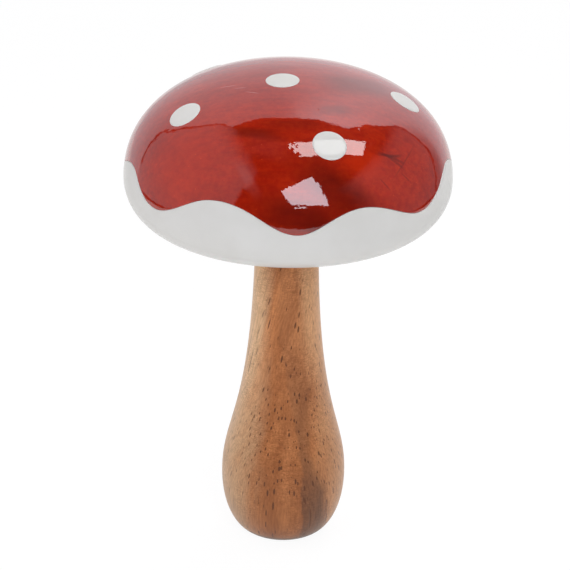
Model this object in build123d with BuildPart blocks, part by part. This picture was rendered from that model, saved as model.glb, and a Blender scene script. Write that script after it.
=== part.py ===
"""Mushroom ornament: a turned wood stem dowelled and glued into a turned wood cap.

The cap carries a coat of red enamel, a white enamel skirt with a wavy upper edge, and white enamel spots.
Millimetres, +Z up, with the origin at the centre of the foot. The front faces -Y.
"""

import os
from math import cos, radians, sin

from build123d import *

# Cap, outside its enamel
cap_radius = 55.0
dome_rise = 36.5  # from the widest girth up to the crown
rim_drop = 14.25  # from the widest girth down to the flat underside
rim_round = 13.75  # how far the rounded rim reaches in from the girth to the flat underside
crown_fullness = 0.41  # how far the dome runs level at the crown, as a share of its radius
side_fullness = 0.775  # how far the dome runs upright at the girth, as a share of its rise

# Enamel
enamel_thickness = 0.8
primer_thickness = 0.05  # room for the primer between the wood and the enamel
spot_radius = 5.5
spot_thickness = 0.25

# Upper edge of the white skirt, as crests and troughs round the cap, with points between them on the front.
# Azimuths are in degrees from the front towards +X, and heights are above the girth.
wave_azimuths = (
    -38, -31, -25, -12, 4.5, 14, 25, 38, 50, 61, 74,
    102, 128, 154, 180, 206, 232, 258, 284, 294, 301, 310,
)
wave_heights = (
    6.2, 9.5, 10.6, 7.9, 1.7, 5.6, 8.9, 6, 2.1, 4.8, 10.9,
    1.7, 9.6, 1.5, 9.9, 1.9, 9.4, 1.6, 9.2, 8.5, 4, 1.6,
)

# Spots, each at an azimuth in degrees and a distance from the crown along the dome
spot_azimuths = (-17, -62, 18.3, 86.4, 156, 227)
spot_reaches = (8.0, 39.6, 42.9, 39.6, 41.0, 40.5)

# Stem
stem_length = 119.25  # from the foot to the underside of the cap
neck_radius = 10.75
belly_radius = 21.75
belly_height = 20.85  # height of the widest turn above the foot
foot_radius = 13.9
neck_reach = 0.763  # how far the neck runs straight down, as a share of the way to the belly
shoulder_reach = 0.217  # how far the belly runs straight up, as a share of the same way
belly_fullness = 0.68  # how far the belly runs straight down, as a share of its height
foot_fullness = 0.28  # how far the foot runs level, as a share of its overhang

# Dowel joint between stem and cap
seat_depth = 3.0  # how deep the neck sits in the wood of the cap
seat_clearance = 0.15
dowel_radius = 5.0
dowel_length = 44.0
dowel_chamfer = 1.0
dowel_clearance = 0.1
dowel_end_gap = 1.0  # room for glue beyond each end of the dowel
flute_count = 12
flute_radius = 0.5

# Sizes worked out from these
girth_height = stem_length + rim_drop
coat_thickness = enamel_thickness + primer_thickness
core_underside = stem_length + coat_thickness
stem_top = core_underside + seat_depth
socket_depth = dowel_length / 2 + dowel_end_gap
dowel_foot = Plane.XY.offset(stem_top - dowel_length / 2)


def dome_points(inset):
    """Control points of the dome's curve from the crown to the girth, drawn inset from the cap's outside."""
    radius = cap_radius - inset
    rise = dome_rise - inset
    return (
        (0, girth_height + rise),
        (crown_fullness * radius, girth_height + rise),
        (radius, girth_height + side_fullness * rise),
        (radius, girth_height),
    )


def cap_section(inset):
    """Half section of the cap, drawn inset from its outside: dome, rounded rim and flat underside."""
    rim_centre = (cap_radius - rim_round, girth_height)
    with BuildSketch(Plane.XZ) as section:
        with BuildLine():
            dome = Bezier(*dome_points(inset))
            rim = EllipticalCenterArc(rim_centre, rim_round - inset, rim_drop - inset, arc_size=-90)
            Polyline(rim @ 1, (0, stem_length + inset), dome @ 0)
        make_face()
    return section.sketch


def around(azimuth, radius, height):
    """Point at an azimuth, turned from the front towards +X."""
    angle = radians(azimuth)
    return (radius * sin(angle), -radius * cos(angle), height)


def wave_ring(radius, swing):
    """Closed ring round the cap's axis. A swing of 1 follows the wave, and 0 stays level at the girth."""
    with BuildLine() as ring:
        turns = zip(wave_azimuths, wave_heights)
        points = [around(azimuth, radius, girth_height + swing * height) for azimuth, height in turns]
        Spline(*points, periodic=True)
    return ring.edge()


def spot_plane(azimuth, reach):
    """Plane that touches the dome at a distance from the crown, with its normal pointing out of the cap."""
    dome = Edge.make_bezier(*dome_points(0))
    place = dome.position_at(reach, position_mode=PositionMode.LENGTH)
    run = dome.tangent_at(reach, position_mode=PositionMode.LENGTH)
    touch = around(azimuth, place.X, place.Y)
    normal = around(azimuth, -run.Y, run.X)
    return Plane(origin=touch, z_dir=normal)


def save(piece, name):
    """Labels a finished piece and writes it to its own file."""
    piece.part.label = name
    export_step(piece.part, f"parts/{name}.step")


os.makedirs("parts", exist_ok=True)

# Stem: one turning from the seat in the cap to the foot, with a socket for the dowel in its top
with BuildPart() as stem:
    with BuildSketch(Plane.XZ):
        with BuildLine():
            neck_drop = stem_length - belly_height
            neck = Bezier(
                (neck_radius, stem_length),
                (neck_radius, stem_length - neck_reach * neck_drop),
                (belly_radius, belly_height + shoulder_reach * neck_drop),
                (belly_radius, belly_height),
            )
            belly = Bezier(
                neck @ 1,
                (belly_radius, belly_height * (1 - belly_fullness)),
                (foot_radius + foot_fullness * (belly_radius - foot_radius), 0),
                (foot_radius, 0),
            )
            Polyline(belly @ 1, (0, 0), (0, stem_top), (neck_radius, stem_top), neck @ 0)
        make_face()
    revolve(axis=Axis.Z)
    with Locations((0, 0, stem_top)):
        Hole(dowel_radius + dowel_clearance, depth=socket_depth)
save(stem, "stem")

# Dowel: a fluted pin, half in the stem and half in the cap
with BuildPart() as dowel:
    with BuildSketch(dowel_foot):
        Circle(dowel_radius)
    extrude(amount=dowel_length)
    chamfer(dowel.edges().filter_by(GeomType.CIRCLE), dowel_chamfer)
    with BuildSketch(dowel_foot):
        with PolarLocations(dowel_radius, flute_count):
            Circle(flute_radius)
    extrude(amount=dowel_length, mode=Mode.SUBTRACT)
save(dowel, "dowel")

# Cap core: the turned wood under the enamel, with a seat for the neck and a socket for the dowel
with BuildPart() as cap_core:
    revolve(cap_section(coat_thickness), axis=Axis.Z)
    with Locations(Plane(origin=(0, 0, core_underside), z_dir=(0, 0, -1))):
        CounterBoreHole(
            radius=dowel_radius + dowel_clearance,
            counter_bore_radius=neck_radius + seat_clearance,
            counter_bore_depth=seat_depth,
            depth=seat_depth + socket_depth,
        )
save(cap_core, "cap_core")

# The whole enamel coat, open where the neck goes in, which the wave then divides into white and red
with BuildPart() as enamel_coat:
    revolve(cap_section(0), axis=Axis.Z)
    revolve(cap_section(enamel_thickness), axis=Axis.Z, mode=Mode.SUBTRACT)
    with Locations(Plane(origin=(0, 0, stem_length), z_dir=(0, 0, -1))):
        Hole(neck_radius + seat_clearance, depth=2 * enamel_thickness)

# Everything below the wave, as deep as the cap is tall
wave_face = Face.make_surface_from_curves(
    wave_ring(neck_radius, swing=0),
    wave_ring(cap_radius + enamel_thickness, swing=1),
)
with BuildPart() as below_wave:
    extrude(wave_face, amount=dome_rise + rim_drop, dir=(0, 0, -1))

with BuildPart() as white_enamel:
    add(enamel_coat.part)
    add(below_wave.part, mode=Mode.INTERSECT)
save(white_enamel, "white_enamel")

with BuildPart() as red_enamel:
    add(enamel_coat.part)
    add(below_wave.part, mode=Mode.SUBTRACT)
save(red_enamel, "red_enamel")

# Spots: round drops of white enamel that lie on the red coat
with BuildPart() as spot_layer:
    revolve(cap_section(-spot_thickness), axis=Axis.Z)
    revolve(cap_section(0), axis=Axis.Z, mode=Mode.SUBTRACT)

for number, (azimuth, reach) in enumerate(zip(spot_azimuths, spot_reaches), 1):
    with BuildPart() as spot:
        with BuildSketch(spot_plane(azimuth, reach)):
            Circle(spot_radius)
        extrude(amount=spot_radius, both=True)
        add(spot_layer.part, mode=Mode.INTERSECT)
    save(spot, f"enamel_spot_{number}")
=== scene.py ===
import math

import bpy
import numpy as np
from mathutils import Euler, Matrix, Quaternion, Vector


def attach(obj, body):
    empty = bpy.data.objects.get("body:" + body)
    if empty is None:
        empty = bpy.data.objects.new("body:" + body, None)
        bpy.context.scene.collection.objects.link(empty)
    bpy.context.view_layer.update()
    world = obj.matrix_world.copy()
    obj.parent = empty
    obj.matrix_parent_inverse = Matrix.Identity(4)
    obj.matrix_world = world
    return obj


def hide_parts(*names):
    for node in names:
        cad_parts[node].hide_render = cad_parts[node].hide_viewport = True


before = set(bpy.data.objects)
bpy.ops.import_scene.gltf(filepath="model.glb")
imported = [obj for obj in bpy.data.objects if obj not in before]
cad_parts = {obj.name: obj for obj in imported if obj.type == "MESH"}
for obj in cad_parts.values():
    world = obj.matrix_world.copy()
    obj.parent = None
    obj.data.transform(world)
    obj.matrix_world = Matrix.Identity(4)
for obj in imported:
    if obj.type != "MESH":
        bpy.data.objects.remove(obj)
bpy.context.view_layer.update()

# Sizes in metres, the same as the CAD's
mm = 0.001
cap_radius = 55.0 * mm
dome_rise = 36.5 * mm
rim_drop = 14.25 * mm
rim_round = 13.75 * mm
crown_fullness = 0.41
side_fullness = 0.775
enamel_thickness = 0.8 * mm
primer_thickness = 0.05 * mm
spot_radius = 5.5 * mm
spot_thickness = 0.25 * mm
stem_length = 119.25 * mm
neck_radius = 10.75 * mm
belly_radius = 21.75 * mm
belly_height = 20.85 * mm
foot_radius = 13.9 * mm
neck_reach = 0.763
shoulder_reach = 0.217
belly_fullness = 0.68
foot_fullness = 0.28
seat_depth = 3.0 * mm
seat_clearance = 0.15 * mm
dowel_radius = 5.0 * mm
dowel_length = 44.0 * mm
dowel_clearance = 0.1 * mm
dowel_end_gap = 1.0 * mm
girth_height = stem_length + rim_drop
stem_top = stem_length + enamel_thickness + primer_thickness + seat_depth
socket_radius = dowel_radius + dowel_clearance
socket_floor = stem_top - dowel_length / 2 - dowel_end_gap

# Upper edge of the white skirt, as heights above the girth, and the places of the spots.
# Azimuths are in degrees from the front, which faces -Y, towards +X.
wave_azimuths = np.array((
    -38, -31, -25, -12, 4.5, 14, 25, 38, 50, 61, 74,
    102, 128, 154, 180, 206, 232, 258, 284, 294, 301, 310,
))
wave_heights = mm * np.array((
    6.2, 9.5, 10.6, 7.9, 1.7, 5.6, 8.9, 6, 2.1, 4.8, 10.9,
    1.7, 9.6, 1.5, 9.9, 1.9, 9.4, 1.6, 9.2, 8.5, 4, 1.6,
))
wave_share = 0.975  # the dividing face rises from the neck, and has this share of its height at the surface
spot_azimuths = (-17, -62, 18.3, 86.4, 156, 227)
spot_reaches = np.array((8.0, 39.6, 42.9, 39.6, 41.0, 40.5)) * mm

# Rounded shoulders that the enamel has along its edges
edge_round = 0.3 * mm
spot_shoulder = 1.1 * mm

# Mesh density: points along a curve and round a turn, and rings in each part of a piece
profile_steps = 6000
underside_steps = 200
segments = 360
spot_segments = 96
dome_rings = 150
dome_inside_rings = 40
shoulder_rings = 8
skirt_rings = 160
skirt_inside_rings = 60
spot_rings = 24
spot_shoulder_rings = 14
spot_back_rings = 6
foot_rings = 10
stem_rings = 260

# Smallest ring beside each pole, as a share of the largest
dome_pole = 0.008
dome_inside_pole = 0.03
spot_pole = 0.05
spot_back_pole = 0.1
foot_pole = 0.2

same_point = 1e-9  # points on an outline that are closer than this are one
sharp_angle = math.radians(50)  # faces that meet at more than this shade as an edge
sink_steps = 30  # rounds of the search for the dome under a spot


def bezier(*points):
    """Points along a cubic curve in the half plane of radius and height."""
    share = np.linspace(0, 1, profile_steps)[:, None]
    weights = ((1 - share) ** 3, 3 * (1 - share) ** 2 * share, 3 * (1 - share) * share**2, share**3)
    return sum(weight * np.array(point) for weight, point in zip(weights, points))


class Profile:
    """A turned outline that is read by the distance along it, with the normal that points out of it."""

    def __init__(self, *curves):
        self.points = np.concatenate(curves)
        steps = np.linalg.norm(np.diff(self.points, axis=0), axis=1)
        keep = np.concatenate(([True], steps > same_point))
        self.points = self.points[keep]
        steps = np.linalg.norm(np.diff(self.points, axis=0), axis=1)
        self.along = np.concatenate(([0], np.cumsum(steps)))
        run = np.gradient(self.points, axis=0)
        run /= np.linalg.norm(run, axis=1)[:, None]
        self.normals = np.stack((-run[:, 1], run[:, 0]), axis=1)

    def read(self, table, distance):
        """Points or normals at a distance along the outline."""
        return np.stack([np.interp(distance, self.along, table[:, axis]) for axis in (0, 1)], axis=-1)

    def offset(self, distance, depth):
        """Points at a distance along the outline, sunk to a depth under it."""
        return self.read(self.points, distance) - depth * self.read(self.normals, distance)


def around(radius, height, azimuth):
    """Points at a radius and height, turned from the front towards +X."""
    return np.stack((radius * np.sin(azimuth), -radius * np.cos(azimuth), height + 0 * azimuth), axis=-1)


def periodic_spline(places, values, wanted):
    """Smooth closed curve through values at places in degrees, read at the wanted places."""
    gaps = np.diff(np.append(places, places[0] + 360))
    slopes = np.diff(np.append(values, values[0])) / gaps
    count = len(places)
    bends = np.zeros((count, count))
    for i in range(count):
        bends[i, i - 1] = gaps[i - 1]
        bends[i, i] = 2 * (gaps[i - 1] + gaps[i])
        bends[i, (i + 1) % count] = gaps[i]
    curvature = np.linalg.solve(bends, 6 * (slopes - np.roll(slopes, 1)))
    turned = (wanted - places[0]) % 360
    i = np.searchsorted(places - places[0], turned, side="right") - 1
    before = turned - (places - places[0])[i]
    after = gaps[i] - before
    next_i = (i + 1) % count
    return (
        (curvature[i] * after**3 + curvature[next_i] * before**3) / (6 * gaps[i])
        + (values[i] / gaps[i] - curvature[i] * gaps[i] / 6) * after
        + (values[next_i] / gaps[i] - curvature[next_i] * gaps[i] / 6) * before
    )


def build_mesh(name, rings, closed=False):
    """Mesh through rings of points, listed so that its outside runs upwards.

    A ring of one point is a pole, and closed joins the last ring to the first.
    """
    points, faces, starts = [], [], []
    for ring in rings:
        starts.append(len(points))
        points.extend(ring)
    pairs = list(zip(range(len(rings) - 1), range(1, len(rings))))
    if closed:
        pairs.append((len(rings) - 1, 0))
    for low, high in pairs:
        count = max(len(rings[low]), len(rings[high]))
        for j in range(count):
            k = (j + 1) % count
            corners = (
                starts[low] + j % len(rings[low]),
                starts[low] + k % len(rings[low]),
                starts[high] + k % len(rings[high]),
                starts[high] + j % len(rings[high]),
            )
            faces.append(list(dict.fromkeys(corners)))
    mesh = bpy.data.meshes.new(name)
    mesh.from_pydata([tuple(point) for point in points], [], faces)
    mesh.validate()
    mesh.polygons.foreach_set("use_smooth", [True] * len(mesh.polygons))
    mesh.set_sharp_from_angle(angle=sharp_angle)
    piece = bpy.data.objects.new(name, mesh)
    bpy.context.scene.collection.objects.link(piece)
    return piece


def shoulder(distance, radius):
    """How far a rounded edge has sunk at a distance in from it."""
    short = np.clip(radius - distance, 0, radius)
    return radius - np.sqrt(radius**2 - short**2)


# Outline of the cap from the crown over the girth to the hole for the neck
dome_curve = bezier(
    (0, girth_height + dome_rise),
    (crown_fullness * cap_radius, girth_height + dome_rise),
    (cap_radius, girth_height + side_fullness * dome_rise),
    (cap_radius, girth_height),
)
rim_angle = np.linspace(0, math.pi / 2, profile_steps)
rim_curve = np.stack(
    (cap_radius - rim_round * (1 - np.cos(rim_angle)), girth_height - rim_drop * np.sin(rim_angle)), axis=1
)
underside_curve = np.linspace(
    (cap_radius - rim_round, stem_length), (neck_radius + seat_clearance, stem_length), underside_steps
)
cap_profile = Profile(dome_curve, rim_curve, underside_curve)
dome = Profile(dome_curve)

# Distance from the crown to the skirt's upper edge, at each step of a turn
turn = np.linspace(0, 2 * math.pi, segments, endpoint=False)
skirt_height = girth_height + wave_share * periodic_spline(wave_azimuths, wave_heights, np.degrees(turn))
skirt_edge = np.interp(-skirt_height, -dome.points[:, 1], dome.along)


def cap_ring(distance, depth):
    """Ring round the cap at a distance from the crown, which may change along the turn, and a depth."""
    point = cap_profile.offset(distance, depth)
    return around(point[..., 0], point[..., 1], turn)


def make_red_enamel():
    """Dome of red enamel, from the crown to a rounded shoulder along the wave, closed by its inside."""
    rings = [np.array([(0, 0, girth_height + dome_rise)])]
    for share in np.linspace(dome_pole, 1, dome_rings):
        rings.append(cap_ring(share * (skirt_edge - edge_round), 0))
    for distance in np.linspace(edge_round, 0, shoulder_rings)[1:]:
        rings.append(cap_ring(skirt_edge - distance, shoulder(distance, edge_round)))
    for share in np.linspace(1, dome_inside_pole, dome_inside_rings):
        rings.append(cap_ring(share * skirt_edge, enamel_thickness))
    rings.append(np.array([(0, 0, girth_height + dome_rise - enamel_thickness)]))
    return build_mesh("red_enamel_coat", rings[::-1])


def make_white_enamel():
    """Skirt of white enamel, from a rounded shoulder along the wave to the neck, closed by its inside."""
    rings = []
    for distance in np.linspace(0, edge_round, shoulder_rings)[:-1]:
        rings.append(cap_ring(skirt_edge + distance, shoulder(distance, edge_round)))
    start = skirt_edge + edge_round
    end = cap_profile.along[-1]
    for share in np.linspace(0, 1, skirt_rings):
        rings.append(cap_ring(start + share * (end - start), 0))
    for share in np.linspace(1, 0, skirt_inside_rings):
        rings.append(cap_ring(skirt_edge + share * (end - skirt_edge), enamel_thickness))
    return build_mesh("white_enamel_skirt", rings[::-1], closed=True)


def dome_axes(azimuth, reach):
    """Point on the dome with its normal, the level direction to the right, and the way down the dome."""
    azimuth = np.radians(azimuth)
    radius, height = dome.offset(reach, 0)
    out, rise = dome.read(dome.normals, reach)
    normal = around(out, rise, azimuth)
    side = np.array((math.cos(azimuth), math.sin(azimuth), 0))
    return around(radius, height, azimuth), normal, side, np.cross(side, normal)


def make_spot(number, azimuth, reach):
    """Drop of white enamel on the dome: level in the middle, with a rounded shoulder."""
    centre, normal, side, fall = dome_axes(azimuth, reach)
    angle = np.linspace(0, 2 * math.pi, spot_segments, endpoint=False)

    def ring(size, lift):
        """Circle on the plane that touches the dome, sunk to the dome and then lifted off it."""
        flat = centre + size * (np.cos(angle)[:, None] * side - np.sin(angle)[:, None] * fall)
        sink = np.zeros(len(angle))
        for _ in range(sink_steps):
            point = flat - sink[:, None] * normal
            reached = np.hypot(point[:, 0], point[:, 1])
            sink += point[:, 2] - np.interp(reached, dome.points[:, 0], dome.points[:, 1])
        return flat + (lift - sink)[:, None] * normal

    rings = [ring(0, spot_thickness)[:1]]
    for size in np.linspace(spot_pole, 1, spot_rings)[:-1] * (spot_radius - spot_shoulder):
        rings.append(ring(size, spot_thickness))
    for share in np.linspace(0, 1, spot_shoulder_rings):
        size = spot_radius - spot_shoulder * (1 - math.sin(share * math.pi / 2))
        rings.append(ring(size, spot_thickness * math.cos(share * math.pi / 2)))
    for size in np.linspace(1 - spot_back_pole, spot_back_pole, spot_back_rings) * spot_radius:
        rings.append(ring(size, 0))
    rings.append(ring(0, 0)[:1])
    return build_mesh(f"white_spot_{number}", rings[::-1])


def make_stem():
    """Turned stem from the middle of its foot, over the belly and neck, to the socket in its top."""
    neck_drop = stem_length - belly_height
    belly = bezier(
        (foot_radius, 0),
        (foot_radius + foot_fullness * (belly_radius - foot_radius), 0),
        (belly_radius, belly_height * (1 - belly_fullness)),
        (belly_radius, belly_height),
    )
    neck = bezier(
        (belly_radius, belly_height),
        (belly_radius, belly_height + shoulder_reach * neck_drop),
        (neck_radius, stem_length - neck_reach * neck_drop),
        (neck_radius, stem_length),
    )
    outline = Profile(belly, neck)
    rings = [np.array([(0, 0, 0)])]
    for radius in np.linspace(foot_pole, 1, foot_rings)[:-1] * foot_radius:
        rings.append(around(radius, 0, turn))
    for distance in np.linspace(0, outline.along[-1], stem_rings):
        radius, height = outline.offset(distance, 0)
        rings.append(around(radius, height, turn))
    for radius, height in (
        (neck_radius, stem_top),
        (socket_radius, stem_top),
        (socket_radius, socket_floor),
    ):
        rings.append(around(radius, height, turn))
    rings.append(np.array([(0, 0, socket_floor)]))
    return build_mesh("turned_stem", rings)


def feed(tree, socket, value):
    """Links a socket to another node's output, or sets its value."""
    if isinstance(value, bpy.types.NodeSocket):
        tree.links.new(value, socket)
    else:
        socket.default_value = value


def math_node(tree, operation, *values, clamp=False):
    """Result of one operation on sockets or plain values."""
    node = tree.nodes.new("ShaderNodeMath")
    node.operation = operation
    node.use_clamp = clamp
    for socket, value in zip(node.inputs, values):
        feed(tree, socket, value)
    return node.outputs[0]


def product(tree, *values):
    """Product of any number of sockets or plain values."""
    result = values[0]
    for value in values[1:]:
        result = math_node(tree, "MULTIPLY", result, value)
    return result


def ease(tree, value, low, high):
    """Goes smoothly from 0 at low to 1 at high."""
    node = tree.nodes.new("ShaderNodeMapRange")
    node.interpolation_type = "SMOOTHSTEP"
    feed(tree, node.inputs["Value"], value)
    node.inputs["From Min"].default_value = low
    node.inputs["From Max"].default_value = high
    return node.outputs["Result"]


def spread(tree, value):
    """Spreads noise, which lies mostly between 0.3 and 0.7, out to between 0 and 1."""
    return ease(tree, value, 0.3, 0.7)


def ramp(tree, value, low, high, at_low, at_high):
    """Goes evenly from one value at low to another at high, and stays level beyond them."""
    node = tree.nodes.new("ShaderNodeMapRange")
    feed(tree, node.inputs["Value"], value)
    for name, limit in (("From Min", low), ("From Max", high), ("To Min", at_low), ("To Max", at_high)):
        node.inputs[name].default_value = limit
    return node.outputs["Result"]


def object_place(tree):
    """Coordinates in the object's own space."""
    return tree.nodes.new("ShaderNodeTexCoord").outputs["Object"]


def axes(tree):
    """The object's own coordinates, one socket for each axis."""
    node = tree.nodes.new("ShaderNodeSeparateXYZ")
    tree.links.new(object_place(tree), node.inputs["Vector"])
    return node.outputs["X"], node.outputs["Y"], node.outputs["Z"]


def stretched(tree, scale, turned=(0, 0, 0), place=None):
    """The object's own coordinates, or others that are given, times the number of features to a metre."""
    node = tree.nodes.new("ShaderNodeMapping")
    tree.links.new(place or object_place(tree), node.inputs["Vector"])
    node.inputs["Scale"].default_value = scale
    node.inputs["Rotation"].default_value = [math.radians(angle) for angle in turned]
    return node.outputs["Vector"]


def noise(tree, vector, detail=2.0, roughness=0.5, distortion=0.0):
    """Cloudy pattern with features about as large as the vector's unit."""
    node = tree.nodes.new("ShaderNodeTexNoise")
    feed(tree, node.inputs["Vector"], vector)
    node.inputs["Scale"].default_value = 1.0
    node.inputs["Detail"].default_value = detail
    node.inputs["Roughness"].default_value = roughness
    node.inputs["Distortion"].default_value = distortion
    return node.outputs["Fac"]


def cells(tree, vector, dimensions="3D"):
    """Distance to the nearest of many scattered points, and a random value that belongs to that point."""
    node = tree.nodes.new("ShaderNodeTexVoronoi")
    node.voronoi_dimensions = dimensions
    tree.links.new(vector, node.inputs["Vector"])
    node.inputs["Scale"].default_value = 1.0
    return node.outputs["Distance"], node.outputs["Color"]


def scattered(tree, density, edge, chosen):
    """Soft dots at those of many scattered points whose random value is above the chosen one."""
    distance, chance = cells(tree, stretched(tree, (density, density, density)))
    return product(tree, ease(tree, distance, *edge), ease(tree, chance, *chosen))


def mix_colour(tree, factor, first, second, blend="MIX"):
    """Mixes two colours, each of them a socket or three plain values."""
    node = tree.nodes.new("ShaderNodeMix")
    node.data_type = "RGBA"
    node.blend_type = blend
    feed(tree, node.inputs["Factor"], factor)
    for name, colour in (("A", first), ("B", second)):
        linked = isinstance(colour, bpy.types.NodeSocket)
        feed(tree, node.inputs[name], colour if linked else (*colour, 1))
    return node.outputs["Result"]


def tinted(tree, colour, factor, low, high):
    """Colour times a tint that goes from low to high with the factor."""
    return mix_colour(tree, 1.0, colour, mix_colour(tree, factor, low, high), "MULTIPLY")


def bump(tree, height, distance):
    """Normal of a surface that a pattern lifts by up to a distance."""
    node = tree.nodes.new("ShaderNodeBump")
    node.inputs["Strength"].default_value = 1.0
    node.inputs["Distance"].default_value = distance
    feed(tree, node.inputs["Height"], height)
    return node.outputs["Normal"]


def new_material(name, **settings):
    """Material with one Principled shader, whose sockets take the settings."""
    material = bpy.data.materials.new(name)
    material.use_nodes = True
    tree = material.node_tree
    shader = tree.nodes["Principled BSDF"]
    for socket, value in settings.items():
        feed(tree, shader.inputs[socket.replace("_", " ")], value)
    return material, tree, shader


# Red lacquer: tones or tints at the low and the high end of each pattern, tones of the marks, and relief
cloud_tones = ((0.37, 0.0115, 0.0008), (0.475, 0.0195, 0.0014))
thread_tints = ((0.88, 0.82, 0.82), (1.08, 1.1, 1.1))
mottle_tints = ((0.92, 0.74, 0.72), (1.07, 1.3, 1.36))
speck_tints = ((1, 1, 1), (1.3, 2.2, 2.2))
pale_tone = (0.55, 0.023, 0.0015)
dark_tone = (0.13, 0.0035, 0.0003)
# Pale tone of two painted reflections of the studio and of fine scratches
reflection_and_scratch_tone = (0.6, 0.22, 0.2)
lacquer_relief = 0.05 * mm
swell_height = 2.2  # these are times the relief
ripple_height = 0.6
nib_height = 0.7
dimple_height = 0.9  # and this is times a nib's

# Marks in the red: azimuth, distance from the crown, turn in degrees, half length, half width and strength
pale_strokes = (
    (-43.0, 55.0 * mm, 70, 20 * mm, 15 * mm, 0.35),
    (31.0, 50.0 * mm, 35, 10 * mm, 7 * mm, 0.75),
    (200.0, 48.0 * mm, 40, 20 * mm, 12 * mm, 0.8),
)
dark_strokes = (
    (18.5, 59.0 * mm, 42, 22 * mm, 9 * mm, 0.75),
    (4.0, 66.0 * mm, 10, 20 * mm, 9 * mm, 0.7),
    (11.0, 68.5 * mm, 15, 10 * mm, 5 * mm, 0.5),
    (2.0, 33.5 * mm, 0, 15 * mm, 3.5 * mm, 0.32),
    (42.5, 50.5 * mm, 22, 6 * mm, 0.8 * mm, 0.6),
    (43.5, 51.5 * mm, 38, 7 * mm, 0.8 * mm, 0.65),
    (44.0, 53.0 * mm, 52, 6 * mm, 0.7 * mm, 0.55),
    (46.0, 51.5 * mm, 10, 4 * mm, 0.7 * mm, 0.5),
    (48.8, 54.2 * mm, 155, 12 * mm, 0.4 * mm, 0.4),
    (36.2, 59.1 * mm, 58, 3.5 * mm, 0.4 * mm, 0.45),
    (46.2, 59.0 * mm, 55, 3.5 * mm, 0.4 * mm, 0.45),
    (-17.5, 38.4 * mm, -2, 12 * mm, 3.3 * mm, 0.6),
    (80.0, 24.0 * mm, 60, 20 * mm, 11 * mm, 0.6),
    (31.0, 28.5 * mm, 15, 8 * mm, 3.5 * mm, 0.45),
    (150.0, 50.0 * mm, 35, 18 * mm, 7 * mm, 0.7),
    (-120.0, 45.0 * mm, -30, 16 * mm, 7 * mm, 0.7),
)
# The first two are painted reflections of the studio, as faint pale bands; the last three are fine pale
# scratches
reflection_and_scratch_strokes = (
    (-15.0, 54.5 * mm, 52, 9 * mm, 2.4 * mm, 0.1),
    (-11.0, 43.0 * mm, 8, 12 * mm, 6.0 * mm, 0.04),
    (-67.0, 22.0 * mm, -62, 3.5 * mm, 0.3 * mm, 0.5),
    (-55.0, 19.7 * mm, -48, 2.5 * mm, 0.3 * mm, 0.4),
    (-38.0, 19.6 * mm, -14, 3.0 * mm, 0.3 * mm, 0.5),
)
marks = ((pale_tone, pale_strokes), (dark_tone, dark_strokes), (reflection_and_scratch_tone, reflection_and_scratch_strokes))
dimple_patch = (2.2, 43.5 * mm, 60, 5 * mm, 3.2 * mm)
stroke_core = 0.2  # the part of a mark that has its full strength, before it fades to its edge
smear_least = 0.55  # strength of a mark where there is no thread, and how much a thread adds
smear_range = 0.9


def stroke(tree, azimuth, reach, turned, length, width):
    """Soft mark on the dome, turned down from level by an angle, used for the wiping marks, the painted
    reflections and the patch of dimples.
    """
    centre, _, side, fall = dome_axes(azimuth, reach)
    angle = math.radians(turned)
    along = math.cos(angle) * side + math.sin(angle) * fall
    across = math.cos(angle) * fall - math.sin(angle) * side
    masks = []
    for direction, size in ((along, length), (across, width)):
        dot = tree.nodes.new("ShaderNodeVectorMath")
        dot.operation = "DOT_PRODUCT"
        tree.links.new(object_place(tree), dot.inputs[0])
        dot.inputs[1].default_value = direction
        away = math_node(tree, "SUBTRACT", dot.outputs["Value"], centre @ direction)
        masks.append(ease(tree, math_node(tree, "ABSOLUTE", away), size, stroke_core * size))
    return product(tree, *masks)


def lacquer_colour(tree):
    """Soft clouds, fine threads and a mottle, with marks of wiping, fine scratches, two painted reflections
    of the studio and a few pale specks.
    """
    clouds = noise(tree, stretched(tree, (38, 38, 55)), detail=2.0, roughness=0.45, distortion=0.6)
    threads = noise(tree, stretched(tree, (70, 520, 520), turned=(0, 30, 12)), detail=4.0, roughness=0.65)
    mottle = noise(tree, stretched(tree, (620, 620, 620)), detail=3.0, roughness=0.6)
    colour = mix_colour(tree, spread(tree, clouds), *cloud_tones)
    colour = tinted(tree, colour, spread(tree, threads), *thread_tints)
    colour = tinted(tree, colour, spread(tree, mottle), *mottle_tints)
    smear = math_node(tree, "MULTIPLY_ADD", threads, smear_range, smear_least)
    for tone, strokes in marks:
        for *place, strength in strokes:
            mark = product(tree, stroke(tree, *place), strength)
            mark = math_node(tree, "MULTIPLY", mark, smear, clamp=True)
            colour = mix_colour(tree, mark, colour, tone)
    specks = scattered(tree, 480, edge=(0.14, 0.04), chosen=(0.55, 0.58))
    return tinted(tree, colour, specks, *speck_tints)


def lacquer_surface(tree):
    """Gentle swell and ripple, with a few nibs of dust and one patch of dimples."""
    swell = noise(tree, stretched(tree, (130, 130, 130)), detail=1.0)
    ripple = noise(tree, stretched(tree, (330, 330, 330)), detail=3.0, roughness=0.55)
    waves = math_node(tree, "MULTIPLY_ADD", swell, swell_height, product(tree, ripple, ripple_height))
    nibs = scattered(tree, 210, edge=(0.1, 0.02), chosen=(0.6, 0.62))
    distance, _ = cells(tree, stretched(tree, (620, 620, 620)))
    dimples = product(tree, ease(tree, distance, 0.6, 0.1), stroke(tree, *dimple_patch))
    nibs = math_node(tree, "MULTIPLY_ADD", dimples, dimple_height, nibs)
    return bump(tree, math_node(tree, "MULTIPLY_ADD", nibs, nib_height, waves), lacquer_relief)


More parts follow.
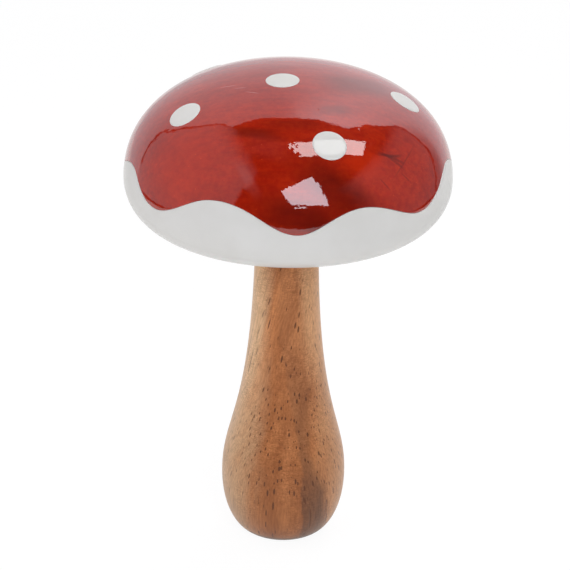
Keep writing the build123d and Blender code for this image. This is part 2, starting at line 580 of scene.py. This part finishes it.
def red_enamel_material():
    """Deep red lacquer under a clear glossy coat."""
    material, tree, shader = new_material(
        "red_lacquer",
        Roughness=0.5,
        Specular_IOR_Level=0.03,
        Coat_Weight=1.0,
        Coat_Roughness=0.02,
        Coat_IOR=1.7,
    )
    feed(tree, shader.inputs["Base Color"], lacquer_colour(tree))
    surface = lacquer_surface(tree)
    feed(tree, shader.inputs["Coat Normal"], surface)
    feed(tree, shader.inputs["Normal"], surface)
    return material


# White enamel: tones of its clouds, and relief
white_tones = ((0.75, 0.74, 0.685), (0.79, 0.78, 0.728))
white_relief = 0.04 * mm


def white_enamel_material():
    """White enamel with faint clouds under a glossy coat."""
    material, tree, shader = new_material(
        "white_enamel",
        Roughness=0.45,
        Specular_IOR_Level=0.0,
        Coat_Weight=0.55,
        Coat_Roughness=0.04,
        Coat_IOR=1.5,
    )
    clouds = noise(tree, stretched(tree, (55, 55, 55)), detail=3.0)
    feed(tree, shader.inputs["Base Color"], mix_colour(tree, spread(tree, clouds), *white_tones))
    ripple = noise(tree, stretched(tree, (260, 260, 260)), detail=2.0)
    surface = bump(tree, ripple, white_relief)
    feed(tree, shader.inputs["Coat Normal"], surface)
    feed(tree, shader.inputs["Normal"], surface)
    return material


# Stem wood: tones of its parts, tints at the low and the high end of each pattern, and relief
heart_tones = ((0.36, 0.124, 0.036), (0.51, 0.197, 0.066))
# The two tones of the paler sides are painted sheen and side light, not the wood's own colour.
left_sheen_tone = (0.64, 0.402, 0.218)
right_sheen_tone = (0.605, 0.33, 0.155)
streak_tone = (0.115, 0.05, 0.025)
vessel_tone = (0.12, 0.036, 0.009)
# Tone of the foot's lower edge: partly a dirty edge, partly painted shade where the foot curves under to
# the floor.
foot_dirt_and_shade_tone = (0.03, 0.014, 0.008)
fibre_tints = ((0.82, 0.78, 0.74), (1.14, 1.15, 1.16))
curl_tints = ((0.8, 0.75, 0.7), (1.16, 1.18, 1.2))
height_tints = ((1.0, 0.955, 0.9), (1, 0.99, 0.97))
wood_relief = 0.05 * mm

# Run of the grain: it bends to the right with the square of the way up from a height, and it leans forwards
bend_start = 20 * mm
bend_rate = 1.5
forward_lean = 0.14
belly_lean = 0.12  # more of it, up to a height
belly_lean_end = 60 * mm

# Vessels: distance between them, and their half widths as shares of it. One below zero stays closed.
vessel_spacing = 1.5 * mm
vessel_least = -0.02
vessel_range = 0.31  # how much chance adds to the least
vessel_depth = 0.8  # times the relief
vessel_wall = (0.04, -0.05)  # soft edge of a vessel
vessel_patches = (0.47, 0.55)  # levels of the noise between which the vessels open

# Paler sides, painted sheen and side light: where each begins and is full, from -1 at the stem's left to 1
# at its right
left_sheen_border = (-0.3, -0.95)
right_sheen_border = (0.5, 1.0)
border_wander = 0.6  # how far the bands move the borders
streak_fray = 5 * mm  # how far the edges of the grey streak wander
foot_edge = (3.2 * mm, 0.3 * mm)  # heights between which the edge of the foot darkens, with dirt and painted shade
foot_dirt_and_shade = 0.9


def grain_place(tree, x, y, z):
    """Coordinates across the grain and along it."""
    above = math_node(tree, "MAXIMUM", math_node(tree, "SUBTRACT", z, bend_start), 0.0)
    bend = product(tree, math_node(tree, "POWER", above, 2.0), bend_rate)
    forwards = product(tree, math_node(tree, "MINIMUM", z, belly_lean_end), belly_lean)
    forwards = math_node(tree, "MULTIPLY_ADD", z, forward_lean, forwards)
    node = tree.nodes.new("ShaderNodeCombineXYZ")
    tree.links.new(math_node(tree, "SUBTRACT", x, bend), node.inputs["X"])
    tree.links.new(math_node(tree, "ADD", y, forwards), node.inputs["Y"])
    tree.links.new(z, node.inputs["Z"])
    return node.outputs["Vector"]


def wood_pores(tree, z, grain):
    """Vessels of the wood: tubes along the grain, which the turned surface cuts into strokes or dots."""
    density = 1 / vessel_spacing
    distance, chance = cells(tree, stretched(tree, (density, density, density), place=grain), "2D")
    width = math_node(tree, "MULTIPLY_ADD", chance, vessel_range, vessel_least)
    tube = ease(tree, math_node(tree, "SUBTRACT", distance, width), *vessel_wall)
    patches = noise(tree, stretched(tree, (300, 300, 150), place=grain))
    patches = math_node(tree, "ADD", patches, ramp(tree, z, 50 * mm, 75 * mm, 0.05, 0.0))
    return product(tree, tube, ease(tree, patches, *vessel_patches))


def grey_streak(tree, x, z, grain):
    """Layer of greyed wood that slants through the stem and widens towards the foot, with a frayed edge."""
    fray = noise(tree, stretched(tree, (420, 420, 30), place=grain), detail=3.0, roughness=0.6)
    wander = math_node(tree, "MULTIPLY_ADD", fray, streak_fray, -streak_fray / 2)
    place = math_node(tree, "ADD", x, wander)
    left_edge = ramp(tree, z, 30 * mm, 77 * mm, 6.5 * mm, -2 * mm)
    right_edge = ramp(tree, z, 22 * mm, 38 * mm, 15.5 * mm, 9 * mm)
    past_left = math_node(tree, "SUBTRACT", place, left_edge)
    inside_left = product(
        tree, ease(tree, past_left, -0.5 * mm, 0.7 * mm), ramp(tree, past_left, 0, 8 * mm, 0.7, 1)
    )
    inside_right = ease(tree, math_node(tree, "SUBTRACT", right_edge, place), -1.5 * mm, 3 * mm)
    low = ramp(tree, z, 16 * mm, 52 * mm, 0.43, 0.0)
    high = ramp(tree, z, 50 * mm, 85 * mm, 0.42, 0.15)
    return product(tree, inside_left, inside_right, math_node(tree, "ADD", low, high))


def painted_sheen_sides(tree, x, y, z, bands):
    """Shares of the stem's left and right that are painted paler, as painted sheen and side light, with
    borders that follow the bands.
    """
    squares = math_node(tree, "ADD", math_node(tree, "POWER", x, 2.0), math_node(tree, "POWER", y, 2.0))
    radius = math_node(tree, "MAXIMUM", math_node(tree, "SQRT", squares), 1 * mm)
    side = math_node(tree, "DIVIDE", x, radius)
    wander = math_node(tree, "MULTIPLY_ADD", bands, border_wander, -border_wander / 2)
    side = math_node(tree, "ADD", side, wander)
    left = product(tree, ease(tree, side, *left_sheen_border), ramp(tree, z, 4 * mm, 18 * mm, 0.6, 1))
    side = math_node(tree, "ADD", side, ramp(tree, z, 60 * mm, 100 * mm, 0.0, 0.28))
    right = product(tree, ease(tree, side, *right_sheen_border), ramp(tree, z, 40 * mm, 90 * mm, 0.6, 0.85))
    return left, right


def curly_figure(tree, colour, grain):
    """Colour with patches of fine waves across the grain."""
    waves = stretched(tree, (420, 420, 1500), place=grain)
    curl = noise(tree, waves, detail=3.0, roughness=0.6, distortion=2.0)
    figured = tinted(tree, colour, ease(tree, curl, 0.36, 0.64), *curl_tints)
    patches = ease(tree, noise(tree, stretched(tree, (75, 75, 50))), 0.4, 0.65)
    return mix_colour(tree, patches, colour, figured)


def painted_light_by_height(tree, colour, z):
    """Colour that gets darker and warmer from the neck down to the foot; the lightening upwards is painted
    light, for the light that reaches the stem under the cap.
    """
    # Painted light: brighter up the stem towards the neck
    lift = ramp(tree, z, 0.0, 80 * mm, 0.85, 1.18)
    lift = math_node(tree, "ADD", lift, ramp(tree, z, 80 * mm, 106 * mm, 0.0, -0.03))
    colour = mix_colour(tree, 1.0, colour, lift, "MULTIPLY")
    return tinted(tree, colour, ramp(tree, z, 30 * mm, 80 * mm, 0.0, 1.0), *height_tints)


def stem_wood_material():
    """Oiled hardwood: brown heart, paler sides, grey streak, fine fibres, curly figure and open vessels."""
    material, tree, shader = new_material(
        "stem_wood",
        Roughness=0.42,
        Specular_IOR_Level=0.3,
        Sheen_Weight=0.3,
        Sheen_Roughness=0.45,
        Sheen_Tint=(1.0, 0.87, 0.7, 1),
    )
    x, y, z = axes(tree)
    grain = grain_place(tree, x, y, z)
    bands = noise(tree, stretched(tree, (130, 130, 9), place=grain), detail=3.0, distortion=0.5)
    fibres = noise(tree, stretched(tree, (1700, 1700, 130), place=grain), detail=3.0, roughness=0.65)
    # Paler left and right: painted sheen and side light
    left, right = painted_sheen_sides(tree, x, y, z, bands)
    colour = mix_colour(tree, spread(tree, bands), *heart_tones)
    colour = mix_colour(tree, left, colour, left_sheen_tone)
    colour = mix_colour(tree, right, colour, right_sheen_tone)
    colour = mix_colour(tree, grey_streak(tree, x, z, grain), colour, streak_tone)
    colour = tinted(tree, colour, spread(tree, fibres), *fibre_tints)
    colour = curly_figure(tree, colour, grain)
    # Painted light, lighter up towards the neck
    colour = painted_light_by_height(tree, colour, z)
    # Vessels show fainter under the painted sheen on the sides
    faint_on_sheen = ramp(tree, math_node(tree, "MAXIMUM", left, right), 0.2, 0.9, 0.95, 0.5)
    pores = product(tree, wood_pores(tree, z, grain), faint_on_sheen)
    colour = mix_colour(tree, pores, colour, vessel_tone)
    # Dirt and painted shade along the foot's lower edge
    dirt_and_shade = product(tree, ease(tree, z, *foot_edge), foot_dirt_and_shade)
    colour = mix_colour(tree, dirt_and_shade, colour, foot_dirt_and_shade_tone)
    feed(tree, shader.inputs["Base Color"], colour)
    relief = math_node(tree, "MULTIPLY_ADD", pores, -vessel_depth, fibres)
    feed(tree, shader.inputs["Normal"], bump(tree, relief, wood_relief))
    return material


# Raw wood of the pieces inside: pale and deep tone of each, and tints of the fibres
cap_wood_tones = ((0.52, 0.31, 0.17), (0.4, 0.21, 0.1))
dowel_wood_tones = ((0.66, 0.47, 0.29), (0.55, 0.36, 0.2))
raw_fibre_tints = ((0.85, 0.83, 0.8), (1.05, 1.04, 1.03))


def plain_wood_material(name, pale, deep):
    """Raw wood with grain along the axis."""
    material, tree, shader = new_material(name, Roughness=0.65)
    bands = noise(tree, stretched(tree, (160, 160, 12)), detail=3.0, distortion=0.4)
    fibres = noise(tree, stretched(tree, (1400, 1400, 70)), detail=2.0)
    colour = mix_colour(tree, spread(tree, bands), deep, pale)
    colour = tinted(tree, colour, spread(tree, fibres), *raw_fibre_tints)
    feed(tree, shader.inputs["Base Color"], colour)
    feed(tree, shader.inputs["Normal"], bump(tree, fibres, wood_relief))
    return material


def dress(piece, material, slot, *nodes):
    """Gives a piece its material, hangs it on the root body and hides the CAD nodes that it stands for."""
    piece.data.materials.append(material)
    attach(piece, "root")
    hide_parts(*nodes)


red_lacquer = red_enamel_material()
white_lacquer = white_enamel_material()
dress(make_stem(), stem_wood_material(), "stem_wood", "stem")
dress(make_red_enamel(), red_lacquer, "red_enamel", "red_enamel")
dress(make_white_enamel(), white_lacquer, "white_enamel", "white_enamel")
for number, (azimuth, reach) in enumerate(zip(spot_azimuths, spot_reaches), 1):
    dress(make_spot(number, azimuth, reach), white_lacquer, "white_enamel", f"enamel_spot_{number}")

cap_wood = plain_wood_material("cap_wood", *cap_wood_tones)
dowel_wood = plain_wood_material("dowel_wood", *dowel_wood_tones)
for node, material in (("cap_core", cap_wood), ("dowel", dowel_wood)):
    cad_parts[node].data.materials.clear()
    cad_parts[node].data.materials.append(material)


# Stage: a pale floor, a light tent that is open in front, and softboxes above and in front

# Floor, as distances from the object to its edges, and the white that it shows by itself
floor_front = 0.84
floor_side = 0.48
floor_back = 2.0
floor_drop = 0.1 * mm
floor_colour = (0.95, 0.95, 0.94, 1)
floor_white = 1.05
floor_glow = 0.88  # share of that white, where the floor is seen
front_glow = 0.3  # the part of the share that is left at the front edge
glow_fade_end = -0.4  # place along Y where the floor has its full share again

# Tent. A sheet hangs behind, and a panel stands at each side. A direction is read by where it meets them:
# as height and depth, for one length out to the side, or as slope and way across, for one length back.
tent_colour = (0.99, 0.98, 1.03)
tent_white = 0.88
dark_room = 0.015
tiny = 0.001  # keeps divisors off zero
sheet_start = (0.005, 0.025)  # soft edge of the sheet behind a corner
sheet_top = (1.86, 1.82)  # soft upper edge of the sheet
sheet_flat = 0.35  # how far to each side that edge runs level
sheet_sag = 0.6  # how fast it falls beyond
sheet_base = 0.9  # strength of the sheet on the left
lit_from = (-0.1, 0.35)  # ways across between which the lit part begins
lit_low = 0.22  # what the lit part adds at its foot, and how much more at its top
lit_rise = 1.1
lit_slopes = (-0.1, 1.7)  # slopes of that foot and top
shade_from = (0.7, 1.3)  # ways across between which the far right falls into shade
shade_depth = 0.8
panel_end = (-0.02, -0.05)  # soft edge of a panel before a corner
panel_foot = (-0.28, -0.27)  # soft lower edge of a panel
panel_fold = (1.12, 1.22)  # heights between which a panel folds
panel_run = (-0.4, 0.5)  # depths between which a panel's strength goes over to its far share
low_gap = 0.06  # how much earlier the left panel ends below the horizon
horizon = (0.02, -0.04)  # heights between which that begins
left_corner = (0.0, 0.55, 0.7, 0.91)  # two heights, and the depths of the corner at them
left_corner_top = (1.3, 2.0, 0.0, 0.22)  # two heights, and what is added to the depth at them
right_corner = (-0.2, 1.05, 0.6, 1.1)
left_panel = {
    "strength": 0.55,
    "fill": 0.7,  # how much more of its light reaches matt surfaces
    "lean": 0.1,  # how far its near edge comes forward as it rises
    "near_edge": -1.27,  # depth of that edge at height 0
    "softness": 0.07,  # half width of that edge
    "overhang": 0.18,  # how far the edge comes forward and softens above the fold
    "top": 2.4,  # height of its upper edge
    "fade": 0.35,  # half width of that edge, as a share of the height
    "far_share": 1.0,  # strength towards its far end, as a share
}
right_panel = {
    "strength": 0.33,
    "fill": 1.3,
    "lean": 0.35,
    "near_edge": -0.55,
    "softness": 0.5,
    "overhang": 0.0,
    "top": 1.0,
    "fade": 0.2,
    "far_share": 0.85,
}

# Softboxes: name, radiance, place, turns in degrees, width and height, and colour
neutral = (1, 1, 1)
cool = (0.98, 1.0, 1.1)
softboxes = (
    ("overhead_softbox", 5.5, (0.342, -0.002, 1.084), (-12.7, 6.8, 20.0), (0.63, 0.286), neutral),
    ("front_softbox", 5.6, (0.14, -1.225, 0.853), (63.5, 19.6, 70.8), (1.207, 0.626), cool),
    ("strip_light", 5.6, (0.158, -1.153, 0.434), (86.7, 1.9, 23.8), (0.183, 0.041), cool),
)

# Camera
camera_elevation = math.radians(24.75)
camera_roll = math.radians(0.95)
camera_aim = Vector((-0.44 * mm, 0, 92.9 * mm))
camera_distance = 0.75
sensor_width = 36.0
lens_length = 138.3


def seen_directly(tree):
    """1 for what the camera, a mirror or glass shows, and 0 for light that only falls on the object."""
    path = tree.nodes.new("ShaderNodeLightPath")
    shown = math_node(tree, "MAXIMUM", path.outputs["Is Camera Ray"], path.outputs["Is Glossy Ray"])
    return math_node(tree, "MAXIMUM", shown, path.outputs["Is Transmission Ray"])


def make_floor():
    """Pale floor that shows white and keeps a soft shadow."""
    corners = [
        (-floor_side, -floor_front, -floor_drop),
        (floor_side, -floor_front, -floor_drop),
        (floor_side, floor_back, -floor_drop),
        (-floor_side, floor_back, -floor_drop),
    ]
    mesh = bpy.data.meshes.new("floor")
    mesh.from_pydata(corners, [], [range(4)])
    floor = bpy.data.objects.new("floor", mesh)
    bpy.context.scene.collection.objects.link(floor)
    material, tree, shader = new_material("floor", Base_Color=floor_colour, Roughness=0.9)
    glow = tree.nodes.new("ShaderNodeEmission")
    glow.inputs["Strength"].default_value = floor_white
    _, y, _ = axes(tree)
    glow_share = ramp(tree, y, -floor_front, glow_fade_end, front_glow * floor_glow, floor_glow)
    blend = tree.nodes.new("ShaderNodeMixShader")
    tree.links.new(product(tree, seen_directly(tree), glow_share), blend.inputs["Fac"])
    tree.links.new(shader.outputs["BSDF"], blend.inputs[1])
    tree.links.new(glow.outputs["Emission"], blend.inputs[2])
    tree.links.new(blend.outputs["Shader"], tree.nodes["Material Output"].inputs["Surface"])
    mesh.materials.append(material)


def tent_corners(tree, height, on_left, on_right):
    """Depth at which a side panel gives way to the sheet, which grows with the height."""
    left = math_node(tree, "ADD", ramp(tree, height, *left_corner), ramp(tree, height, *left_corner_top))
    right = ramp(tree, height, *right_corner)
    return math_node(tree, "ADD", product(tree, left, on_left), product(tree, right, on_right))


def tent_sheet(tree, x, y, z, past_corner):
    """Light of the sheet behind: stronger on the right and upwards, and weak at the far right."""
    behind = math_node(tree, "MAXIMUM", y, tiny)
    across = math_node(tree, "DIVIDE", x, behind)
    outer = math_node(tree, "SUBTRACT", math_node(tree, "ABSOLUTE", across), sheet_flat)
    outer = math_node(tree, "MAXIMUM", outer, 0.0)
    slope = math_node(tree, "MULTIPLY_ADD", outer, -sheet_sag, math_node(tree, "DIVIDE", z, behind))
    sheet = product(tree, ease(tree, past_corner, *sheet_start), ease(tree, slope, *sheet_top))
    rising = math_node(tree, "MULTIPLY_ADD", ease(tree, slope, *lit_slopes), lit_rise, lit_low)
    lit_side = product(tree, ease(tree, across, *lit_from), rising)
    shade = math_node(tree, "MULTIPLY_ADD", ease(tree, across, *shade_from), -shade_depth, sheet_base)
    return product(tree, sheet, math_node(tree, "ADD", lit_side, shade))


def side_panel(tree, panel, on_side, height, depth, past_end, matt_ray):
    """Light of one side panel, between its near edge and the corner, and between its foot and top."""
    above_fold = ease(tree, height, *panel_fold)
    leaning = math_node(tree, "MULTIPLY_ADD", height, panel["lean"], depth)
    inside = math_node(tree, "SUBTRACT", leaning, panel["near_edge"])
    inside = math_node(tree, "MULTIPLY_ADD", above_fold, panel["overhang"], inside)
    soft = math_node(tree, "MULTIPLY_ADD", above_fold, panel["overhang"], panel["softness"])
    top, fade = panel["top"], panel["fade"]
    return product(
        tree,
        on_side,
        ease(tree, past_end, *panel_end),
        ease(tree, math_node(tree, "DIVIDE", inside, soft), -1.0, 1.0),
        ramp(tree, depth, *panel_run, 1.0, panel["far_share"]),
        ease(tree, height, (1 + fade) * top, (1 - fade) * top),
        ease(tree, height, *panel_foot),
        math_node(tree, "MULTIPLY_ADD", matt_ray, panel["fill"], 1.0),
    )


def make_tent():
    """World light: the sheet, the panels, a dim room in front, and plain white where the camera looks."""
    world = bpy.data.worlds.new("tent")
    bpy.context.scene.world = world
    world.use_nodes = True
    tree = world.node_tree
    direction = tree.nodes.new("ShaderNodeTexCoord")
    parts = tree.nodes.new("ShaderNodeSeparateXYZ")
    tree.links.new(direction.outputs["Generated"], parts.inputs["Vector"])
    x, y, z = (parts.outputs[name] for name in "XYZ")
    path = tree.nodes.new("ShaderNodeLightPath")
    matt_ray = path.outputs["Is Diffuse Ray"]

    aside = math_node(tree, "MAXIMUM", math_node(tree, "ABSOLUTE", x), tiny)
    depth = math_node(tree, "DIVIDE", y, aside)
    height = math_node(tree, "DIVIDE", z, aside)
    on_right = math_node(tree, "GREATER_THAN", x, 0.0)
    on_left = math_node(tree, "SUBTRACT", 1.0, on_right)
    past_corner = math_node(tree, "SUBTRACT", depth, tent_corners(tree, height, on_left, on_right))
    below = product(tree, ease(tree, height, *horizon), on_left)
    past_end = math_node(tree, "MULTIPLY_ADD", below, -low_gap, past_corner)

    sheet = tent_sheet(tree, x, y, z, past_corner)
    light = math_node(tree, "MULTIPLY_ADD", sheet, tent_white, dark_room)
    for panel, on_side in ((left_panel, on_left), (right_panel, on_right)):
        panel_light = side_panel(tree, panel, on_side, height, depth, past_end, matt_ray)
        light = math_node(tree, "MULTIPLY_ADD", panel_light, panel["strength"], light)

    camera_ray, clear_ray = path.outputs["Is Camera Ray"], path.outputs["Is Transmission Ray"]
    open_air = math_node(tree, "MAXIMUM", camera_ray, clear_ray)
    background = tree.nodes["Background"]
    feed(tree, background.inputs["Color"], mix_colour(tree, open_air, tent_colour, neutral))
    feed(tree, background.inputs["Strength"], math_node(tree, "MAXIMUM", light, open_air))


def add_softbox(name, radiance, place, turned, size, colour):
    """Rectangular light that emits along its own -Z."""
    lamp = bpy.data.lights.new(name, "AREA")
    lamp.shape = "RECTANGLE"
    lamp.size, lamp.size_y = size
    lamp.energy = radiance * math.pi * size[0] * size[1]
    lamp.color = colour
    box = bpy.data.objects.new(name, lamp)
    box.location = place
    box.rotation_euler = Euler([math.radians(angle) for angle in turned])
    box.visible_camera = False
    bpy.context.scene.collection.objects.link(box)


def add_camera():
    """Camera at the photograph's viewing angle."""
    away = Vector((0, -math.cos(camera_elevation), math.sin(camera_elevation)))
    data = bpy.data.cameras.new("camera")
    data.sensor_width = sensor_width
    data.lens = lens_length
    camera = bpy.data.objects.new("camera", data)
    camera.location = camera_aim + camera_distance * away
    camera.rotation_mode = "QUATERNION"
    roll = Quaternion((0, 0, 1), camera_roll)
    camera.rotation_quaternion = (-away).to_track_quat("-Z", "Y") @ roll
    bpy.context.scene.collection.objects.link(camera)
    bpy.context.scene.camera = camera


make_floor()
make_tent()
for softbox in softboxes:
    add_softbox(*softbox)
add_camera()
bpy.context.scene.view_settings.view_transform = "Standard"
